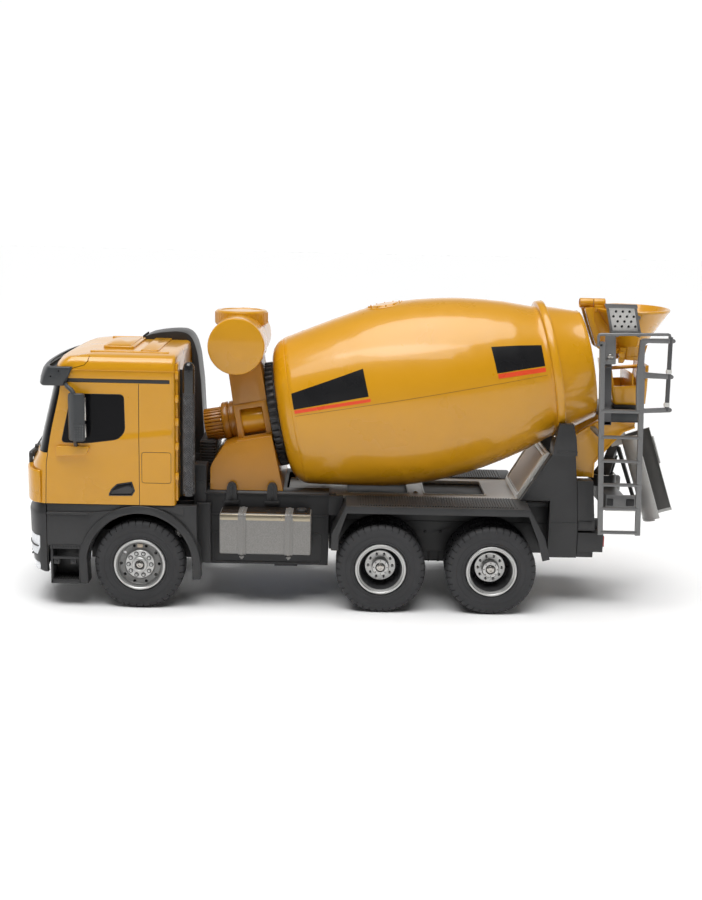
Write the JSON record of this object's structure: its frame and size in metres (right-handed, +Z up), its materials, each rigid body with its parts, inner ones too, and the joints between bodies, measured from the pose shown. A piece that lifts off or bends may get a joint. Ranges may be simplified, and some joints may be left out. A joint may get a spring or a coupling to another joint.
{
  "type": "toy cement mixer truck",
  "caption": "Toy cement mixer truck with steering front wheels, driven rear axles, a turning drum on rollers and a swivelling discharge chute.",
  "frame": {"origin": "on the ground under the middle of the truck's bounding box", "axes": "+Z up, -X towards the front of the truck, -Y towards its left side"},
  "size_m": [0.5224, 0.17, 0.2438],
  "materials": {
    "yellow_paint": "glossy yellow enamel",
    "black_plastic": "satin black moulding",
    "silver_paint": "satin silver paint",
    "tank_grey": "fine speckled grey metallic paint",
    "grey_metal": "grey metallic paint",
    "steel": "plain bright steel",
    "dark_grey_plastic": "satin dark grey moulding",
    "tyre": "matt dark rubber",
    "glazing": "glossy black glazing",
    "clear_lens": "clear lens over a white reflector",
    "circuit_board": "green board with black components",
    "battery_wrap": "blue shrink wrap"
  },
  "bodies": {
    "root": {"battery_pack": "battery_wrap", "bumper": "black_plastic", "cab_glazing": "glazing", "cab_shell": "yellow_paint", "cab_skirt_left": "black_plastic", "cab_skirt_right": "black_plastic", "chassis_cover": "black_plastic", "collector": "yellow_paint", "control_board": "circuit_board", "deck_plate": "silver_paint", "drive_motor": "steel", "drum_pedestal": "yellow_paint", "frame_rail_left": "black_plastic", "frame_rail_right": "black_plastic", "front_axle_beam": "black_plastic", "fuel_tank_left": "tank_grey", "fuel_tank_right": "tank_grey", "headlamp_left": "clear_lens", "headlamp_right": "clear_lens", "hopper": "yellow_paint", "intake_duct": "black_plastic", "ladder": "grey_metal", "mirror_left": "dark_grey_plastic", "mirror_right": "dark_grey_plastic", "mixer_motor": "yellow_paint", "perforated_plate": "grey_metal", "rear_beam": "grey_metal", "rear_drive_gearbox": "black_plastic", "rear_fender_left": "black_plastic", "rear_fender_right": "black_plastic", "rear_support_left": "black_plastic", "rear_support_right": "black_plastic", "snorkel": "black_plastic", "steering_servo": "dark_grey_plastic", "sun_visor": "dark_grey_plastic", "water_tank": "yellow_paint"},
    "steer_left": {"steering_knuckle_left": "dark_grey_plastic"},
    "steer_right": {"steering_knuckle_right": "dark_grey_plastic"},
    "tie_rod": {"tie_rod": "steel"},
    "front_wheel_left": {"front_rim_left": "silver_paint", "front_tyre_left": "tyre"},
    "front_wheel_right": {"front_rim_right": "silver_paint", "front_tyre_right": "tyre"},
    "mid_axle": {"mid_axle_shaft": "steel", "mid_rim_left": "silver_paint", "mid_rim_right": "silver_paint", "mid_tyre_left": "tyre", "mid_tyre_right": "tyre"},
    "rear_axle": {"rear_axle_shaft": "steel", "rear_rim_left": "silver_paint", "rear_rim_right": "silver_paint", "rear_tyre_left": "tyre", "rear_tyre_right": "tyre"},
    "drum": {"drum_shell": "yellow_paint", "drum_ring_gear": "black_plastic"},
    "roller_left": {"support_roller_left": "black_plastic"},
    "roller_right": {"support_roller_right": "black_plastic"},
    "chute_swivel": {"chute_bracket": "black_plastic"},
    "chute": {"discharge_chute": "silver_paint"},
    "power_switch": {"power_switch": "dark_grey_plastic"}
  },
  "joints": [
    {"name": "steer_left", "type": "hinge", "parent": "root", "child": "steer_left", "pos_m": [-0.168, -0.048, 0.035], "axis": [0, 0, 1], "range_deg": [-25, 25]},
    {"name": "steer_right", "type": "hinge", "parent": "root", "child": "steer_right", "pos_m": [-0.168, 0.048, 0.035], "axis": [0, 0, 1], "range_deg": [-25, 25]},
    {"name": "tie_rod_slide", "type": "slide", "parent": "root", "child": "tie_rod", "axis": [0, 1, 0], "range_m": [-0.00765, 0.00765]},
    {"name": "front_wheel_left_spin", "type": "hinge", "parent": "steer_left", "child": "front_wheel_left", "pos_m": [-0.168, -0.064, 0.035], "axis": [0, 1, 0], "continuous": true},
    {"name": "front_wheel_right_spin", "type": "hinge", "parent": "steer_right", "child": "front_wheel_right", "pos_m": [-0.168, 0.064, 0.035], "axis": [0, 1, 0], "continuous": true},
    {"name": "mid_axle_spin", "type": "hinge", "parent": "root", "child": "mid_axle", "pos_m": [0.0195, 0, 0.035], "axis": [0, 1, 0], "continuous": true},
    {"name": "rear_axle_spin", "type": "hinge", "parent": "root", "child": "rear_axle", "pos_m": [0.106, 0, 0.035], "axis": [0, 1, 0], "continuous": true},
    {"name": "drum_spin", "type": "hinge", "parent": "root", "child": "drum", "pos_m": [-0.0502, 0, 0.147], "axis": [0.9833, 0, 0.1822], "continuous": true},
    {"name": "roller_left_spin", "type": "hinge", "parent": "root", "child": "roller_left", "pos_m": [0.16188, -0.04222, 0.13862], "axis": [0.9833, 0, 0.1822], "continuous": true},
    {"name": "roller_right_spin", "type": "hinge", "parent": "root", "child": "roller_right", "pos_m": [0.16188, 0.04222, 0.13862], "axis": [0.9833, 0, 0.1822], "continuous": true},
    {"name": "chute_swivel", "type": "hinge", "parent": "root", "child": "chute_swivel", "pos_m": [0.203, 0, 0.095], "axis": [0, 0, 1], "range_deg": [-8, 58]},
    {"name": "chute_tilt", "type": "hinge", "parent": "chute_swivel", "child": "chute", "pos_m": [0.21161, -0.00402, 0.13], "axis": [0.4226, 0.9063, 0], "range_deg": [-15, 0]},
    {"name": "power_switch_slide", "type": "slide", "parent": "root", "child": "power_switch", "axis": [0, 1, 0], "range_m": [0, 0.0038]}
  ],
  "couplings": [
    {"joint": "steer_right", "follows": "steer_left", "ratio": 1},
    {"joint": "tie_rod_slide", "follows": "steer_left", "m_per_rad": 0.0175},
    {"joint": "rear_axle_spin", "follows": "mid_axle_spin", "ratio": 1},
    {"joint": "roller_left_spin", "follows": "drum_spin", "ratio": -9.45},
    {"joint": "roller_right_spin", "follows": "drum_spin", "ratio": -9.45}
  ]
}
